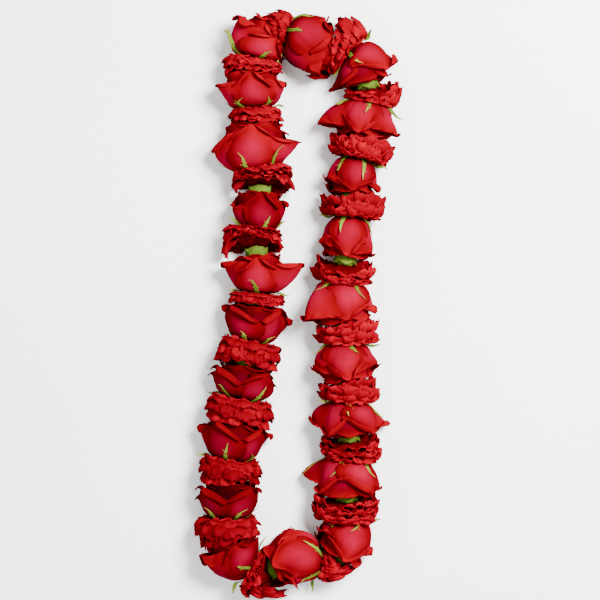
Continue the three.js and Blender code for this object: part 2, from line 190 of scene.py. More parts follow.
def place(flower, along, out, azimuth):
    """Points of a flower, in the frame: mm past its centre on the thread, mm off the thread, and the azimuth
    in radians. An azimuth of 0 is the loop's outer side, and pi / 2 is up."""
    along, out, azimuth = np.broadcast_arrays(*(np.asarray(a, float) for a in (along, out, azimuth)))
    gap = np.where(along < 0, SPACING[flower - 1], SPACING[flower])
    point, ahead = thread_line(flower + along / gap)
    side = np.cross(UP, ahead)
    left = squeezed(out * np.cos(azimuth), flower + along / gap)
    point = point + side * left[..., None] + UP * (out * np.sin(azimuth))[..., None]
    return pressed(point) + TO_FRAME


def extent(i):
    """A rose's lowest petals, shoulder and petal tips, in mm past its centre."""
    before, after = CARNATIONS[i - 1], CARNATIONS[i]
    behind, ahead = SPACING[2 * i - 1], SPACING[2 * i]
    return CUP * before.front + HIP_ROOM - behind, before.front + before.room - behind, ahead - after.rear


class Shell:
    """Gathers closed thin sheets and tubes into one mesh. Each vertex keeps its place on its petal (u from -1
    to 1 across, v from base to rim, and 1 on the petal's outer face) and its petal's tones: one of its own,
    its flower's shade, and its layer from 0 outside to 1 inside. On the greens, a hip is 0 there, a calyx 0.5
    and a sepal 1."""

    def __init__(self):
        self.points, self.faces, self.marks, self.tones = [], [], [], []
        self.count = 0

    def add(self, points, faces, marks, tones):
        self.points.append(points.reshape(-1, 3))
        self.faces.append(faces.reshape(-1, 4) + self.count)
        self.marks.append(marks.reshape(-1, 3))
        self.tones.append(np.broadcast_to(tones, (points.size // 3, 3)))
        self.count += points.size // 3

    def sheet(self, points, thickness, u, v, tones):
        """points is a grid across and along a petal, with its outer face towards du x dv."""
        nu, nv = points.shape[:2]
        normal = np.cross(np.gradient(points, axis=0), np.gradient(points, axis=1))
        normal /= np.maximum(np.linalg.norm(normal, axis=-1, keepdims=True), 1e-9)
        half = np.asarray(thickness)[..., None] / 2
        both = np.stack([points + normal * half, points - normal * half])
        index = np.arange(2 * nu * nv).reshape(2, nu, nv)
        o, i = index
        faces = [
            np.stack([o[:-1, :-1], o[1:, :-1], o[1:, 1:], o[:-1, 1:]], -1),
            np.stack([i[:-1, :-1], i[:-1, 1:], i[1:, 1:], i[1:, :-1]], -1),
            np.stack([i[:-1, 0], i[1:, 0], o[1:, 0], o[:-1, 0]], -1),
            np.stack([i[1:, -1], i[:-1, -1], o[:-1, -1], o[1:, -1]], -1),
            np.stack([o[0, :-1], o[0, 1:], i[0, 1:], i[0, :-1]], -1),
            np.stack([o[-1, 1:], o[-1, :-1], i[-1, :-1], i[-1, 1:]], -1),
        ]
        marks = np.zeros((2, nu, nv, 3))
        marks[..., 0], marks[..., 1] = u, v
        marks[0, ..., 2] = 1
        self.add(both, np.concatenate([f.reshape(-1, 4) for f in faces]), marks, tones)

    def tube(self, rings, tones, closed=False):
        """rings is a grid: stations along the tube, and points round it. The ends stay open, unless the tube
        closes on itself."""
        ns, nr = rings.shape[:2]
        index = np.arange(ns * nr).reshape(ns, nr)
        wrap = np.concatenate([index, index[:, :1]], axis=1)
        if closed:
            wrap = np.concatenate([wrap, wrap[:1]])
        faces = np.stack([wrap[:-1, :-1], wrap[:-1, 1:], wrap[1:, 1:], wrap[1:, :-1]], -1)
        marks = np.zeros((ns, nr, 3))
        marks[..., 0] = np.linspace(-1, 1, nr)
        marks[..., 1] = np.linspace(0, 1, ns)[:, None]
        marks[..., 2] = 1
        self.add(rings, faces, marks, tones)

    def object(self, name, material):
        """The gathered mesh as an object, in metres."""
        mesh = bpy.data.meshes.new(name)
        points = np.concatenate(self.points) / 1000
        faces = np.concatenate(self.faces)
        mesh.vertices.add(len(points))
        mesh.vertices.foreach_set("co", points.ravel())
        mesh.loops.add(faces.size)
        mesh.loops.foreach_set("vertex_index", faces.ravel())
        mesh.polygons.add(len(faces))
        mesh.polygons.foreach_set("loop_start", np.arange(0, faces.size, 4))
        mesh.polygons.foreach_set("use_smooth", np.ones(len(faces), bool))
        mesh.update(calc_edges=True)
        for key, values in (("petal", self.marks), ("tone", self.tones)):
            layer = mesh.attributes.new(key, "FLOAT_VECTOR", "POINT")
            layer.data.foreach_set("vector", np.concatenate(values).ravel())
        mesh.materials.append(material)
        piece = bpy.data.objects.new(name, mesh)
        bpy.context.scene.collection.objects.link(piece)
        return piece


def spline_weights(knots, samples):
    """Weights of `knots` evenly spaced control points at each sample from 0 to 1, for a smooth curve through
    all of them."""
    t = np.asarray(samples) * (knots - 1)
    i = np.minimum(t.astype(int), knots - 2)
    w = t - i
    weights = np.zeros((len(t), knots))
    rows = np.arange(len(t))
    parts = [
        (-1, -w / 2 + w**2 - w**3 / 2),
        (0, 1 - 2.5 * w**2 + 1.5 * w**3),
        (1, w / 2 + 2 * w**2 - 1.5 * w**3),
        (2, (w**3 - w**2) / 2),
    ]
    for step, part in parts:
        k = i + step
        low, high = k < 0, k > knots - 1
        inside = ~(low | high)
        np.add.at(weights, (rows[inside], k[inside]), part[inside])
        np.add.at(weights, (rows[low], 0), 2 * part[low])
        np.add.at(weights, (rows[low], 1), -part[low])
        np.add.at(weights, (rows[high], knots - 1), 2 * part[high])
        np.add.at(weights, (rows[high], knots - 2), -part[high])
    return weights


# Rose petals. Each grid is columns, rows of the body, rows of the rolled rim.
OUTER_GRID, SECOND_GRID, HEART_GRID = (21, 12, 7), (17, 9, 5), (13, 7, 4)
ROSE_RISE = 3.0  # how far a rose's upper petal tips stand out past its belly
PETAL_TURN = 72  # degrees from one outer petal or sepal to the next
OPEN_VALLEY = 17  # the rose whose seam opens down to the layer below
# The layers inside: their share of the belly, flare, mm short of the tip, petals, the rim's turn, the grid.
INNER_LAYERS = [
    (0.9, 1.2, 1.2, 5, 120, SECOND_GRID),
    (0.78, 0.8, 1.0, 4, 90, HEART_GRID),
    (0.62, 0.4, 0.6, 4, 50, HEART_GRID),
    (0.46, 0.2, 0.8, 3, 20, HEART_GRID),
]


def rose_petal(
    shell, flower, seed, azimuth, half, control, roll, tones, grid, point=0.0, under=(0, 0)
):
    """One petal. half is half its width in radians, and control(u) gives five (out, along) points from base
    to rim for each column. roll is the rolled rim's radius in mm, its turn in degrees at the petal's sides
    and at its tip, and the mm of rim folded back past the roll. point is the tip's place across the petal,
    and under is 1 for each side of it that lies under its neighbour, where the rim stays flat."""
    columns, rows, rolled = grid
    u = np.linspace(-1, 1, columns)
    profile = np.einsum("rk,ckx->crx", spline_weights(5, np.linspace(0, 1, rows)), control(u))
    heading = profile[:, -1] - profile[:, -2]
    heading /= np.linalg.norm(heading, axis=-1, keepdims=True)
    outward = np.stack([heading[:, 1], -heading[:, 0]], -1)
    radius, at_sides, at_tip, flap = roll
    covered = under[0] * smooth(-u, 0.5, 0.85) + under[1] * smooth(u, 0.5, 0.85)
    free = (1 - 0.8 * covered) * (1 - 0.45 * smooth(np.abs(u), 0.75, 1))
    beside = smooth(np.abs(u - point), 0.02, 0.34)  # 0 at the petal's tip
    turn = np.radians(at_tip + (at_sides - at_tip) * beside) * free
    radius = radius * (0.7 + 0.3 * beside) * free
    step = (radius * turn + flap * beside * free + 0.3) / rolled
    for row in range(rolled):
        angle = np.minimum((row + 0.5) * step / radius, turn)[:, None]
        onward = np.cos(angle) * heading + np.sin(angle) * outward
        profile = np.concatenate([profile, (profile[:, -1] + step[:, None] * onward)[:, None]], axis=1)
    out, along = profile[..., 0], profile[..., 1]
    v = np.concatenate([np.linspace(0, 0.8, rows), np.linspace(0.8, 1, rolled + 1)[1:]])[None, :]
    u = u[:, None]
    rim = smooth(v, 0.35, 1)
    phase = draw_phase(seed, 1)
    # Free side edges stand off, and the petal has waves, dents and a crease.
    out = out + 1.7 * smooth(np.abs(u), 0.78, 1) * smooth(v, 0.25, 0.6) * (1 - covered[:, None])
    out = out + 0.45 * np.sin(5 * u + phase) * rim
    out = out + 1.0 * np.sin(2.6 * u + 3.3 * v + phase) * np.sin(3.4 * v + 2 * phase) * smooth(v, 0.15, 0.4)
    crease = u - 0.9 * (v - 0.5) * np.sin(3 * phase) - 0.5 * np.sin(2 * phase)
    out = out - 0.9 * np.exp(-((crease / 0.08) ** 2)) * smooth(v, 0.2, 0.4) * (1 - smooth(v, 0.7, 0.85))
    along = along + 0.8 * np.sin(4 * u + 1.7 * phase) * rim
    width = 0.6 + 0.4 * smooth(v, 0, 0.4) - 0.1 * smooth(v, 0.75, 1)
    angle = azimuth + half * u * width + 0.05 * np.sin(4 * v + phase)
    points = place(flower, along, np.maximum(out, 1.5), angle)
    shell.sheet(points, 0.6 - 0.25 * v + 0 * u, u, v, tones)


def outer_petals(i):
    """The rose's five outer petals: azimuth, reach and place of the tip, how far each lies over the body,
    whether it is a wing that opens wide, and whether each of its sides lies under its neighbour."""
    rose, tip = ROSES[i], extent(i)[2]
    start = 90 + rose.roll - (PETAL_TURN / 2 if rose.seam else 0)
    lifts = (2.0, 0.7, 0.0, 1.4, 0.3) if rose.seam else (2.2, 0.3, 1.4, 0.0, 1.0)
    inner_side, outer_side = (2 if rose.seam else 1), 4
    for k, lift in enumerate(lifts):
        azimuth = math.radians(start + PETAL_TURN * k)
        if k == inner_side:
            reach, along = rose.inner[0] / abs(math.cos(azimuth)), rose.inner[1]
        elif k == outer_side:
            reach, along = rose.outer[0] / abs(math.cos(azimuth)), rose.outer[1]
        else:
            reach, along = rose.belly + ROSE_RISE, tip - 0.5 - 3 * draw(i, k)
        under = int(lifts[k - 1] > lift), int(lifts[(k + 1) % 5] > lift)
        yield azimuth, reach, min(along, tip - 1), lift, reach > rose.belly + 5, under


def outer_profile(i, u, reach, along, lift, point, recess):
    """Five (out, along) points from base to rim for each column of an outer petal. recess is how far its rim
    falls away beside the tip."""
    belly = ROSES[i].belly - 0.8
    base, shoulder, tip = extent(i)
    crown = 1 - np.clip(np.abs(u - point) / 1.15, 0, 1) ** 1.05
    rim = tip - (tip - along) * crown - recess * (1 - crown)
    flare = (reach - belly * 0.95) * crown**1.3
    early = 0.1 if reach > belly + 12 else 0  # the widest wings open nearer the shoulder
    one = np.ones_like(u)
    rows = [
        (4.8 * one, (base + 0.4) * one),
        ((belly * 0.86 + 0.4 * lift) * one, shoulder * one),
        (belly + lift + (0.3 + early) * flare, shoulder + (rim - shoulder) * 0.38),
        (belly * 1.01 + lift + (0.68 + early) * flare, shoulder + (rim - shoulder) * 0.74),
        (belly * 0.95 + 0.6 * lift + flare, rim),
    ]
    return np.stack([np.stack(r, -1) for r in rows], axis=-2)


def rose_bloom(i):
    """A rose's five outer petals, and the layers inside them."""
    belly, seam, shade = ROSES[i].belly, ROSES[i].seam, ROSES[i].shade
    base, shoulder, tip = extent(i)
    flower, length = 2 * i, tip - shoulder
    shell = Shell()
    first = next(outer_petals(i))[0]
    for k, (azimuth, reach, along, lift, wing, under) in enumerate(outer_petals(i)):
        point = 0.24 * (draw(i, k + 80) - 0.5)
        recess = (4 if wing else 11) + 5 * draw(i, k + 130)
        # The petals that face up: their rims fall away further, beside a seam towards it.
        if seam and k < 2:
            point += 0.5 if k else -0.5
            recess += 2.5
            if i == OPEN_VALLEY:
                recess += 4
        elif k == 0:
            recess += 5
        radius = (1.2 if wing else 1.5) + 0.5 * draw(i, k + 70)
        at_tip = (10 if wing else 60) + 40 * draw(i, k + 110)
        roll = (radius, 140 + 35 * draw(i, k + 100), at_tip, 2.6 + 2.2 * draw(i, k + 140))
        reach, along = reach - 0.9 * radius, along - (0.8 if wing else 1.6)

        def control(u, reach=reach, along=along, lift=lift, point=point, recess=recess):
            return outer_profile(i, u, reach, along, lift, point, recess)

        half = math.radians(48 + 7 * draw(i, k + 120))
        tones = (draw(i, k + 90), shade, 0.0)
        rose_petal(shell, flower, 31 * i + k, azimuth, half, control, roll, tones, OUTER_GRID, point, under)
    for layer, (share, flare, short, count, bend, grid) in enumerate(INNER_LAYERS):
        for k in range(count):
            seed = HEART_SEED + 40 * i + 8 * layer + k
            turn = PETAL_TURN / 2 + 360 / count * k + 27 * layer + 12 * (draw(seed, 5) - 0.5)
            azimuth = first + math.radians(turn)
            radius = belly * share - 0.8 * (k % 2)
            last = tip - short - 1.8 * draw(seed, 6)

            def control(u, radius=radius, flare=flare, last=last):
                crown = 1 - np.clip(np.abs(u) / 1.15, 0, 1) ** 1.4
                one = np.ones_like(u)
                rows = [
                    (5 * one, (base + 2) * one),
                    (radius * 0.84 * one, (shoulder + 1.5) * one),
                    (radius * one, (shoulder + length * 0.4) * one),
                    (radius * one, (shoulder + length * 0.72) * one),
                    (radius * 0.96 + flare * crown, last - 5 * (1 - crown)),
                ]
                return np.stack([np.stack(r, -1) for r in rows], axis=1)

            roll = (1.5, bend + 40 * draw(seed, 9), bend * 0.5, 0.4)
            tones = (draw(seed, 8), shade, (layer + 1) / 4)
            rose_petal(shell, flower, seed, azimuth, math.radians(243 / count), control, roll, tones, grid)
    return shell


# Carnation petals.
FRILL_COLUMNS, FRILL_ROWS = 25, 8
FRILL_U = np.linspace(-1, 1, FRILL_COLUMNS)
FRILL_V = np.linspace(0, 1, FRILL_ROWS)
FRILL_BODY = spline_weights(5, FRILL_V)
TOOTH = np.where(np.arange(FRILL_COLUMNS) % 2, 1.0, -1.0)
# Whorls from the calyx to the top of the head: where their rims lie between the head's rear (-1) and its
# front (1), the rims' share of the reach, and how many petals.
WHORLS = [(-0.95, 0.96, 6), (-0.5, 1.0, 6), (0.0, 1.0, 6), (0.5, 0.97, 5), (0.92, 0.88, 5)]


def carnation_head(i):
    """The petals spread from the calyx and bend back over each other, so that their upper faces show. Where
    the frill sweeps forward off the calyx, its upper side's petals show their under faces."""
    inner, outer, sweep, rear, front = CARNATIONS[i][1:6]
    flower = 2 * i + 1
    shell = Shell()
    u, v = FRILL_U[:, None], FRILL_V[None, :]
    bent = 0.42 * (rear + front)  # how much of a petal is bent back
    for whorl, (rim, share, count) in enumerate(WHORLS):
        for k in range(count):
            seed = FRILL_SEED + 60 * i + 10 * whorl + k
            azimuth = 2 * math.pi * (k + 0.37 * whorl + 0.45 * (draw(seed, 1) - 0.5)) / count
            up = max(0.0, math.sin(azimuth))
            reach = ((inner + outer) / 2 + (outer - inner) / 2 * math.cos(azimuth)) * share
            reach *= 0.87 + 0.12 * draw(seed, 2)
            rim_along = rim * (rear if rim < 0 else front) + 0.4 * (rear + front) * (draw(seed, 6) - 0.5)
            crest = min(rim_along + bent, front + 0.4)
            swept = min(1, sweep / 4) * up * (1 - whorl / 5)
            rim_along += swept * (1.7 * bent)
            root = -0.45 * rear + (0.45 * rear + 0.35 * front) * whorl / 4
            control = [
                (5.4, -0.4 * rear + 0.5 * whorl),
                (0.42 * reach, root),
                (0.76 * reach, crest * 0.86),
                (0.97 * reach, crest - 0.24 * bent * (1 - 2 * swept)),
                (reach + 1.2 - 1.5 * swept, rim_along),
            ]
            body = FRILL_BODY @ np.array(control)
            heading = np.gradient(body, axis=0)
            heading /= np.linalg.norm(heading, axis=-1, keepdims=True)
            phase, waves = draw_phase(seed, 3), 4.2 + 5.0 * draw(seed, 4)
            grow = np.minimum(1.7, 0.08 * (rear + front) + 0.3) * v**1.5
            wave = np.sin(waves * u + phase) + 0.5 * np.sin(2.3 * waves * u + 1.7 * phase)
            wave = wave + 0.3 * np.sin(4.3 * waves * u)
            lift = grow * (wave + 0.4 * np.sin(1.3 * waves * u * v + 2.4 * phase)) * (1 - 0.5 * u**4)
            # The rim: rounded at the petal's sides, wavy, with teeth.
            teeth = (0.5 + 0.35 * np.sin(9 * u + phase)) * TOOTH[:, None] * smooth(v, 0.8, 1)
            onward = teeth - 3.0 * np.abs(u) ** 3 * v**2 + 0.8 * grow * np.sin(1.6 * waves * u + 2.9 * phase)
            out = body[None, :, 0] + onward * heading[None, :, 0] - lift * heading[None, :, 1]
            along = body[None, :, 1] + onward * heading[None, :, 1] + lift * heading[None, :, 0]
            width = 0.3 + 0.7 * smooth(v, 0, 0.7)
            angle = azimuth + math.pi / count * 1.5 * u * width + 0.05 * v * np.sin(1.6 * waves * u + phase)
            along = along + sweep * np.maximum(0, np.sin(angle)) * smooth(v, 0.0, 0.5) * (1 - whorl / 5)
            along = along + 1.6 * (draw(seed, 7) - 0.5) * u * v
            along = np.clip(along, -rear - 2.2, front + 2.8)
            tones = (draw(seed, 5), CARNATIONS[i].shade, whorl / 4)
            shell.sheet(place(flower, along, out, angle), 0.6 - 0.15 * v + 0 * u, u, v, tones)
    return shell


def lathe(shell, flower, stations, tones, sides=20, shape=None):
    """A tube round the thread through (along, radius) stations. shape(angle, k) gives how far station k is
    shifted along the thread, and its radius's scale."""
    angle = np.linspace(0, 2 * math.pi, sides, endpoint=False)
    rings = []
    for k, (along, radius) in enumerate(stations):
        shift, scale = shape(angle, k) if shape else (0, 1)
        rings.append(place(flower, along + shift, radius * scale * np.ones(sides), angle))
    shell.tube(np.stack(rings), tones)


# The greens.
WIDEST_HALF = math.radians(57)  # an outer petal's half width, at most
LYING, STANDING, SPREAD = "lying", "standing", "spread"
SEPAL_COLUMNS, SEPAL_ROWS = 5, 15
HIP = [(-4.2, 1.2), (-3.8, 3.4), (-3, 5.6), (-1.8, 6.3), (-0.8, 5.6), (0, 3.6), (0.6, 1.2)]
# A calyx's stations, for a frill that goes CALYX_REAR behind its centre: the place along the thread, the
# radius, and how far the pointed lobes reach.
CALYX_REAR = 7.5
CALYX = [
    (-17.4, 1.2, 0),
    (-17, 3.6, 0),
    (-16, 5.6, 0),
    (-13.5, 7.2, 0),
    (-10.5, 8.3, 0.2),
    (-8.2, 8.9, 1.0),
    (-6.6, 9.3, 2.4),
    (-5.2, 9.7, 3.6),
    (-5.4, 8.8, 2.6),
    (-4.4, 7.2, 0),
    (-1.6, 4.6, 0),
    (-0.8, 1.2, 0),
]


def bloom_surface(i, azimuth, along):
    """How far a rose's outer petals reach off the thread round an azimuth, at places along it."""
    best = np.zeros(np.shape(along))
    for turn in (-0.08, 0.0, 0.08):
        for centre, reach, tip, lift, _, _ in outer_petals(i):
            u = math.remainder(azimuth + turn - centre, 2 * math.pi) / WIDEST_HALF
            if abs(u) <= 1:
                side = outer_profile(i, np.array([u]), reach, tip, lift, point=0.0, recess=4.0)[0]
                best = np.maximum(best, np.interp(along, side[:, 1], side[:, 0]))
    return best


def sepal(shell, i, seed, azimuth, length, kind):
    """A narrow blade from the hip over the bloom's shoulder, with thin lobes on its edges and a curled tip.
    It lies on the petals, stands off them or spreads over the carnation behind."""
    flower, belly = 2 * i, ROSES[i].belly
    base, shoulder, _ = extent(i)
    v = np.linspace(0, 1, SEPAL_ROWS)
    along = np.interp(v, [0, 0.3, 1], [base - 2.4, shoulder - 0.6, shoulder + length])
    at_shoulder = belly * 0.84 + 0.8
    over = bloom_surface(i, azimuth, along) + 0.9 + 0.7 * smooth(v, 0.3, 0.6)
    out = np.where(v < 0.3, np.interp(v, [0, 0.3], [5, at_shoulder]), over)
    curl = 0.6 + 1.6 * draw(seed, 14)
    if kind == LYING:
        out = out + curl * smooth(v, 0.65, 1) ** 2
    elif kind == STANDING:
        out = out + (curl + 1.2) * smooth(v, 0.35, 1)
        along = along - 0.35 * length * smooth(v, 0.7, 1) ** 2
    else:
        far = smooth(v, 0.2, 1)
        out = np.interp(v, [0, 0.3, 1], [5, at_shoulder, belly + 9])
        along = along - far * (length + 1.5) + 1.5 * np.sin(3.1 * v) * far
    body = np.stack([out, along], -1)
    body[1:-1] = (body[:-2] + 2 * body[1:-1] + body[2:]) / 4
    out, along = body[None, :, 0], body[None, :, 1]
    heading = np.gradient(body, axis=0)
    heading /= np.linalg.norm(heading, axis=-1, keepdims=True)
    u = np.linspace(-1, 1, SEPAL_COLUMNS)[:, None]
    size = 0.8 + 0.4 * draw(seed, 13)
    half = size * 1.9 * (1 - v) ** 0.8 * (0.75 + 0.35 * np.sin(2.6 * v + 0.5)) + 0.16
    bend = (0.1 + 0.3 * draw(seed, 2)) * np.sin(2.2 * v + draw_phase(seed, 1)) * v
    out = out - 0.4 * (1 - np.abs(u)) * (1 - v)  # a fold along the midrib
    out = out + 0.3 * np.sin(7 * v + draw_phase(seed, 3)) * u * v
    # A blade that stands off at the flower's side turns its flat face up.
    turned = smooth(v, 0.2, 0.6) if kind != LYING and abs(math.cos(azimuth)) > 0.75 else 0 * v
    angle = azimuth + bend + u * (half * (1 - turned))[None, :] / np.maximum(out, 4)
    out = out - u * (half * turned * heading[:, 1])[None, :]
    along = along + u * (half * turned * heading[:, 0])[None, :]
    tones = (draw(seed, 15), 0, 1)
    shell.sheet(place(flower, along, out, angle), 0.6 - 0.25 * v[None, :] + 0 * u, u, v[None, :], tones)
    for side in (-1, 1):
        for n in range(2):
            if draw(seed, 20 + 3 * n + side) < 0.25:
                continue
            at = 0.36 + 0.2 * n + 0.12 * draw(seed, 4 + n + side)
            low = int(at * (SEPAL_ROWS - 1))
            step = body[low + 1] - body[low]
            step /= np.linalg.norm(step)
            reach = (2.7 - 0.8 * n) * (0.5 + 0.8 * draw(seed, 9 + n + side))
            w, across = np.linspace(0, 1, 5), np.linspace(-1, 1, 3)[:, None]
            lobe = body[low] + step * (reach * 0.9 * w)[:, None] + [[0.1, 0]] + [[0.5, 0]] * (w**2)[:, None]
            start = np.interp(at, v, bend) + side * np.interp(at, v, half) * 0.8 / max(body[low, 0], 4)
            spread = side * reach * 0.7 * w**1.3 / np.maximum(lobe[:, 0], 4)
            thin = (0.26 * (1 - w) + 0.07) / np.maximum(lobe[:, 0], 4)
            angle = azimuth + start + spread[None, :] + across * thin[None, :]
            points = place(flower, lobe[None, :, 1] + 0 * across, lobe[None, :, 0] + 0 * across, angle)
            shell.sheet(points, 0.4 - 0.2 * w[None, :] + 0 * across, across, 0.4 + 0.5 * w[None, :], tones)


def calyx(shell, i):
    """The calyx of the carnation after a rose. It shows where the frill sweeps forward."""
    sweep, rear = CARNATIONS[i].sweep, CARNATIONS[i].rear

    def lobes(angle, k):
        pointed = 1 - np.abs((5 * angle / math.pi + 0.6) % 2 - 1)
        swollen = 0.03 * sweep * np.maximum(0, np.sin(angle)) if 3 <= k <= 8 else 0
        return CALYX[k][2] * (pointed - 0.4), 1 + 0.02 * np.cos(20 * angle) + swollen

    stations = [(a * rear / CALYX_REAR + 0.1 * sweep, r) for a, r, _ in CALYX]
    lathe(shell, 2 * i + 1, stations, (draw(i, 310), 0, 0.5), 60, lobes)


def greens(run):
    """The hips, sepals and calyxes of three roses and three carnations."""
    shell = Shell()
    for i in range(3 * run, 3 * run + 3):
        base = extent(i)[0]
        lathe(shell, 2 * i, [(base + a, r) for a, r in HIP], (draw(i, 300), 0, 0))
        first, share = ROSES[i].sepals
        for k in range(5):
            seed = SEPAL_SEED + 20 * i + k
            azimuth = math.radians(first + PETAL_TURN * k + 12 * (draw(i + 80, k) - 0.5))
            kind, length = LYING, 3.5
            if math.sin(azimuth) > -0.3:  # not one of those that the rose lies on
                length = share * (7 + 6 * draw(i + 90, k))
                chance = draw(seed, 12)
                if abs(math.cos(azimuth)) > 0.9 and chance < 0.5:
                    kind = SPREAD
                elif chance > 0.7:
                    kind = STANDING
            sepal(shell, i, seed, azimuth, length, kind)
        calyx(shell, i)
    return shell


# The thread.
THREAD_STEPS = 14  # stations from each flower to the next
THREAD_RADIUS, STRAND_RISE = 0.7, 0.09  # its three strands stand out by the second
TWISTS = 210  # in the whole loop
KNOT_TURNS, KNOT_FROM, KNOT_LENGTH = 3.2, -2.8, 3.6


def thread():
    """The twisted thread, and the knot that ties it, inside the last carnation."""
    shell = Shell()
    t = np.linspace(0, FLOWERS, FLOWERS * THREAD_STEPS, endpoint=False)
    centre, ahead = thread_line(t)
    angle = np.linspace(0, 2 * math.pi, 12, endpoint=False)[None, :]
    twist = 2 * math.pi * TWISTS * t[:, None] / FLOWERS
    radius = THREAD_RADIUS + STRAND_RISE * np.cos(3 * angle - twist)
    aside, above = radius * np.cos(angle), radius * np.sin(angle)
    rings = centre[:, None] + np.cross(UP, ahead)[:, None] * aside[..., None] + UP * above[..., None]
    shell.tube(rings + TO_FRAME, (0.5, 0, 0), closed=True)
    knot(shell)
    return shell


def knot(shell):
    """A few turns of the thread round itself, thin at both ends."""
    t = np.linspace(0, 1, 90)
    out = 1.5 * np.sin(math.pi * np.clip(t, 0.02, 0.98)) ** 0.35
    middle = place(FLOWERS - 1, KNOT_FROM + KNOT_LENGTH * t, out, 2 * math.pi * KNOT_TURNS * t)
    along = np.gradient(middle, axis=0)
    along /= np.linalg.norm(along, axis=-1, keepdims=True)
    first = np.cross(along, UP)
    first /= np.linalg.norm(first, axis=-1, keepdims=True)
    second = np.cross(first, along)
    angle = np.linspace(0, 2 * math.pi, 10, endpoint=False)[:, None]
    thick = 0.62 * np.minimum(1, 12 * np.minimum(t, 1 - t) + 0.15)[:, None, None]
    rings = middle[:, None] + thick * (first[:, None] * np.cos(angle) + second[:, None] * np.sin(angle))
    shell.tube(rings, (0.4, 0, 0))


# Materials.
class Nodes:
    """Makes a material's nodes from short calls."""

    def __init__(self, name):
        self.material = bpy.data.materials.new(name)
        self.material.use_nodes = True
        self.tree = self.material.node_tree
        self.shader = self.tree.nodes["Principled BSDF"]

    def node(self, kind, links=(), **values):
        n = self.tree.nodes.new(kind)
        for key, value in values.items():
            setattr(n, key, value)
        for socket, value in dict(links).items():
            self.link(value, n.inputs[socket])
        return n

    def link(self, value, socket):
        if isinstance(value, bpy.types.NodeSocket):
            self.tree.links.new(value, socket)
        else:
            socket.default_value = value

    def math(self, operation, a, b=0.0, c=None, clamp=False):
        links = {0: a, 1: b} if c is None else {0: a, 1: b, 2: c}
        return self.node("ShaderNodeMath", links, operation=operation, use_clamp=clamp).outputs[0]

    def ramp(self, value, stops):
        n = self.node("ShaderNodeValToRGB", {0: value})
        n.color_ramp.interpolation = "EASE"
        elements = n.color_ramp.elements
        for element, (at, colour) in zip(elements, (stops[0], stops[-1])):
            element.position, element.color = at, (*colour, 1)
        for at, colour in stops[1:-1]:
            elements.new(at).color = (*colour, 1)
        return n.outputs[0]

    def mix(self, fac, a, b, blend="MIX"):
        n = self.node("ShaderNodeMix", data_type="RGBA", blend_type=blend)
        for socket, value in ((n.inputs[0], fac), (n.inputs[6], a), (n.inputs[7], b)):
            self.link((*value, 1) if isinstance(value, tuple) else value, socket)
        return n.outputs[2]

    def attribute(self, name):
        n = self.node("ShaderNodeAttribute", attribute_name=name)
        return self.node("ShaderNodeSeparateXYZ", {0: n.outputs["Vector"]}).outputs

    def noise(self, vector, scale, detail=3.0, roughness=0.5):
        links = {"Vector": vector, "Scale": scale, "Detail": detail, "Roughness": roughness}
        return self.node("ShaderNodeTexNoise", links).outputs[0]


class PetalNodes(Nodes):
    """A petal's material: its nodes start from what each vertex keeps of its petal, and a vein pattern."""

    def __init__(self, name):
        super().__init__(name)
        self.u, self.v, self.face = self.attribute("petal")
        self.tone, self.shade, self.layer = self.attribute("tone")
        self.place = self.node("ShaderNodeTexCoord").outputs["Object"]
        stretched = {
            0: self.math("MULTIPLY", self.u, 16.0),
            1: self.math("MULTIPLY", self.v, 1.2),
            2: self.math("MULTIPLY", self.tone, 40.0),
        }
        vector = self.node("ShaderNodeCombineXYZ", stretched).outputs[0]
        self.veins = self.noise(vector, 1.0, 4.0, 0.6)

    def finish(self, colour, value, roughness, bump, sheen, tint):
        """Brings colour, brightness, fine bumps and sheen together, and returns the material."""
        shader = self.shader
        hsv = self.node("ShaderNodeHueSaturation", {"Value": value, "Color": colour})
        grain = self.noise(self.place, 900.0, 2.0)
        blotch = self.noise(self.place, 60.0, 2.0)
        height = self.math("MULTIPLY_ADD", grain, 0.35, self.veins)
        bumps = self.node("ShaderNodeBump", {"Strength": bump, "Distance": 0.0006, "Height": height})
        self.link(bumps.outputs[0], shader.inputs["Normal"])
        self.link(hsv.outputs[0], shader.inputs["Base Color"])
        self.link(self.math("MULTIPLY_ADD", blotch, 0.2, roughness - 0.1), shader.inputs["Roughness"])
        shader.inputs["Sheen Weight"].default_value = sheen
        shader.inputs["Sheen Roughness"].default_value = 0.5
        shader.inputs["Sheen Tint"].default_value = (*tint, 1)
        shader.inputs["Specular IOR Level"].default_value = 0.0  # matt: no pale reflection at a petal's edge
        return self.material


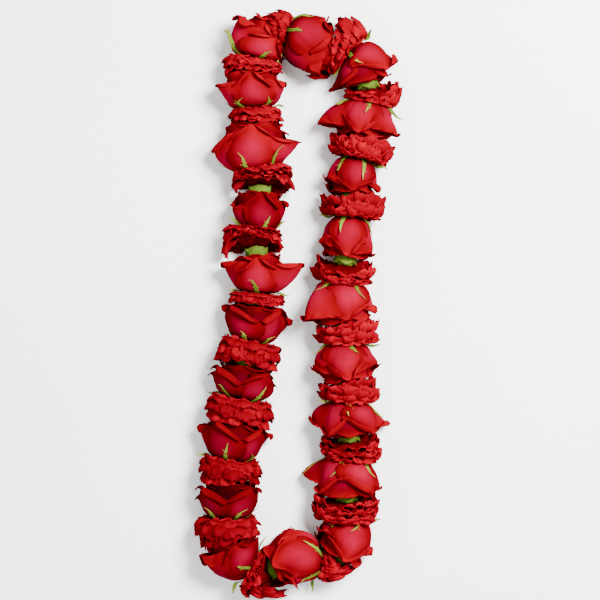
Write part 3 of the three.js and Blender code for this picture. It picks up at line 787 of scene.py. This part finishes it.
def rose_material():
    """Crimson, with a painted pink highlight on each petal's outer face, and painted shade at its base and
    sides.
    """
    n = PetalNodes("rose petal")
    # Darker towards the petal's base: painted shade deep in the bloom.
    body = [(0.0, (0.012, 0, 0.0002)), (0.3, (0.078, 0, 0.0016)), (0.72, (0.098, 0, 0.0018))]
    colour = n.ramp(n.v, [*body, (0.84, (0.12, 0, 0.003))])
    from_middle = n.math("ABSOLUTE", n.u)
    # Painted highlight: a pinker, brighter patch in the middle of each petal's outer face.
    belly = n.ramp(n.v, [(0.1, (0, 0, 0)), (0.4, (1, 1, 1)), (0.76, (0, 0, 0))])
    across = n.ramp(from_middle, [(0.05, (1, 1, 1)), (0.8, (0, 0, 0))])
    painted_highlight = n.math("MULTIPLY", n.math("MULTIPLY", belly, n.face), n.math("MULTIPLY", across, 0.9))
    colour = n.mix(painted_highlight, colour, (0.14, 0, 0.0125))
    # Painted shade: each petal darker towards its sides, most towards its base.
    sides = n.ramp(from_middle, [(0.4, (1, 1, 1)), (1.0, (0.46, 0.46, 0.46))])
    colour = n.mix(n.math("SUBTRACT", 1.0, n.math("MULTIPLY", n.v, 0.6)), colour, sides, "MULTIPLY")
    colour = n.mix(n.math("MULTIPLY", n.math("SUBTRACT", 1.0, n.face), 0.3), colour, (0.13, 0, 0.0022))
    colour = n.mix(n.math("MULTIPLY_ADD", n.veins, -0.6, 0.4, clamp=True), colour, (0.05, 0, 0.0008))
    blotch = n.math("MULTIPLY_ADD", n.noise(n.place, 45.0, 2.0), 1.6, -0.6, clamp=True)
    colour = n.mix(blotch, colour, (0.066, 0, 0.0014))
    # Each flower's shade, partly painted light, and a random tone set its brightness.
    # Painted shade: the layers inside are darker, most where the layer over them covers them.
    value = n.math("ADD", n.math("MULTIPLY", n.shade, 0.9), n.math("MULTIPLY_ADD", n.tone, 0.3, 1.0))
    inside = n.math("MINIMUM", n.math("MULTIPLY", n.layer, 4.0), 1.0)
    covered = n.math("MULTIPLY", inside, n.ramp(n.v, [(0.6, (1, 1, 1)), (0.85, (0, 0, 0))]))
    darker = n.math("MULTIPLY_ADD", covered, 0.4, n.math("MULTIPLY", n.layer, 0.3))
    value = n.math("SUBTRACT", value, darker)
    return n.finish(colour, value, 0.5, 0.08, 0.02, (1.0, 0.02, 0.12))


def carnation_material():
    """Red, with painted shade in the depth of the frill, and strong dark streaks: veins and painted pleat
    shade.
    """
    n = PetalNodes("carnation petal")
    # Darker towards the petals' bases: painted shade in the depth of the frill.
    inner = [(0.0, (0.005, 0, 0.0001)), (0.5, (0.06, 0, 0.0008)), (0.8, (0.12, 0, 0.003))]
    colour = n.ramp(n.v, [*inner, (1.0, (0.142, 0, 0.0047))])
    # Dark streaks: the petals' veins, and painted shade of fine pleats.
    colour = n.mix(n.math("MULTIPLY_ADD", n.veins, -2.2, 1.2, clamp=True), colour, (0.06, 0, 0.0006))
    # Each flower's shade, partly painted light, and a random tone set its brightness.
    value = n.math("ADD", n.math("MULTIPLY", n.shade, 0.8), n.math("MULTIPLY_ADD", n.tone, 0.5, 0.78))
    return n.finish(colour, value, 0.55, 0.8, 0.02, (1.0, 0.02, 0.04))


def green_material():
    """Fresh green, paler towards the tips, which are a little brown on the sepals."""
    n = PetalNodes("sepal and calyx")
    dark = (0.03, 0.06, 0.006)
    blade = [(0.0, dark), (0.45, (0.09, 0.14, 0.014)), (0.8, (0.16, 0.19, 0.025)), (1.0, (0.17, 0.1, 0.03))]
    body = [(0.0, dark), (0.6, (0.05, 0.1, 0.01)), (0.85, (0.09, 0.14, 0.016)), (1.0, (0.15, 0.17, 0.03))]
    colour = n.mix(n.layer, n.ramp(n.v, body), n.ramp(n.v, blade))
    colour = n.mix(n.math("MULTIPLY_ADD", n.veins, -1.0, 0.75, clamp=True), colour, (0.035, 0.06, 0.006))
    return n.finish(colour, n.math("MULTIPLY_ADD", n.tone, 0.6, 0.7), 0.5, 0.3, 0.0, (0.7, 0.9, 0.4))


def thread_material():
    """Pale undyed fibre."""
    n = Nodes("twisted thread")
    fibre = n.noise(n.node("ShaderNodeTexCoord").outputs["Object"], 1500.0, 3.0)
    colour = n.ramp(fibre, [(0.3, (0.55, 0.52, 0.44)), (0.7, (0.82, 0.8, 0.72))])
    bumps = n.node("ShaderNodeBump", {"Strength": 0.6, "Distance": 0.0002, "Height": fibre})
    n.link(colour, n.shader.inputs["Base Color"])
    n.link(bumps.outputs[0], n.shader.inputs["Normal"])
    n.shader.inputs["Roughness"].default_value = 0.85
    return n.material


def floor_material():
    """Pale and matt, with a hardly visible unevenness."""
    n = Nodes("studio floor")
    cloud = n.noise(n.node("ShaderNodeTexCoord").outputs["Object"], 3.0)
    colour = n.ramp(cloud, [(0.3, (0.86, 0.86, 0.86)), (0.7, (0.9, 0.9, 0.9))])
    n.link(colour, n.shader.inputs["Base Color"])
    n.shader.inputs["Roughness"].default_value = 0.9
    return n.material


def put(piece, slot, *nodes):
    """Says what a piece rides on and which nodes it stands for. Its slot is not used."""
    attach(piece, "root")
    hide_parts(*nodes)


ROSE, CARNATION, GREEN = rose_material(), carnation_material(), green_material()
for i in range(len(ROSES)):
    bloom = rose_bloom(i).object(f"rose_bloom_{i + 1:02d}", ROSE)
    put(bloom, "rose_petal", f"rose_{i + 1:02d}")
    head = carnation_head(i).object(f"carnation_head_{i + 1:02d}", CARNATION)
    put(head, "carnation_petal", f"carnation_{i + 1:02d}")
for run in range(len(ROSES) // 3):
    green = greens(run).object(f"sepals_and_calyxes_{run + 1:02d}", GREEN)
    put(green, "green", f"greens_{run + 1:02d}")
put(thread().object("lei_thread", thread_material()), "thread", "thread")

# The floor, the lights and the camera, which looks straight down.
CAMERA_HEIGHT, MIDDLE_HEIGHT, VIEW_WIDTH = 1.6, 0.02, 0.51  # in metres
VIEW_CENTRE = (1.3, 4.25)  # among the places in the lists above
bpy.ops.mesh.primitive_plane_add(size=6, location=(0, 0, 0))
floor = bpy.context.object
floor.name = "floor"
floor.data.materials.append(floor_material())


def soft_light(name, at, size, power, colour=(1, 1, 1)):
    """A square lamp, aimed at the middle of the lei."""
    data = bpy.data.lights.new(name, "AREA")
    data.size, data.energy, data.color = size, power, colour
    lamp = bpy.data.objects.new(name, data)
    lamp.location = at
    direction = np.array([0, 0, MIDDLE_HEIGHT]) - np.array(at)
    lamp.rotation_euler = Vector(direction).to_track_quat("-Z", "Y").to_euler()
    bpy.context.scene.collection.objects.link(lamp)


soft_light("key", (0.6, 0.45, 1.2), 0.5, 116, (1.0, 0.98, 0.96))
soft_light("fill", (-0.8, -0.3, 1.1), 1.2, 12)
soft_light("front", (0.1, -1.2, 0.9), 1.0, 9)
world = bpy.data.worlds.new("studio")
world.use_nodes = True
background = world.node_tree.nodes["Background"]
background.inputs["Color"].default_value = (1, 1, 1, 1)
background.inputs["Strength"].default_value = 0.82
bpy.context.scene.world = world

camera_data = bpy.data.cameras.new("camera")
camera_data.lens = camera_data.sensor_width * (CAMERA_HEIGHT - MIDDLE_HEIGHT) / VIEW_WIDTH
camera = bpy.data.objects.new("camera", camera_data)
camera.location = (*(np.array(VIEW_CENTRE) + TO_FRAME[:2]) / 1000, CAMERA_HEIGHT)
bpy.context.scene.collection.objects.link(camera)
bpy.context.scene.camera = camera
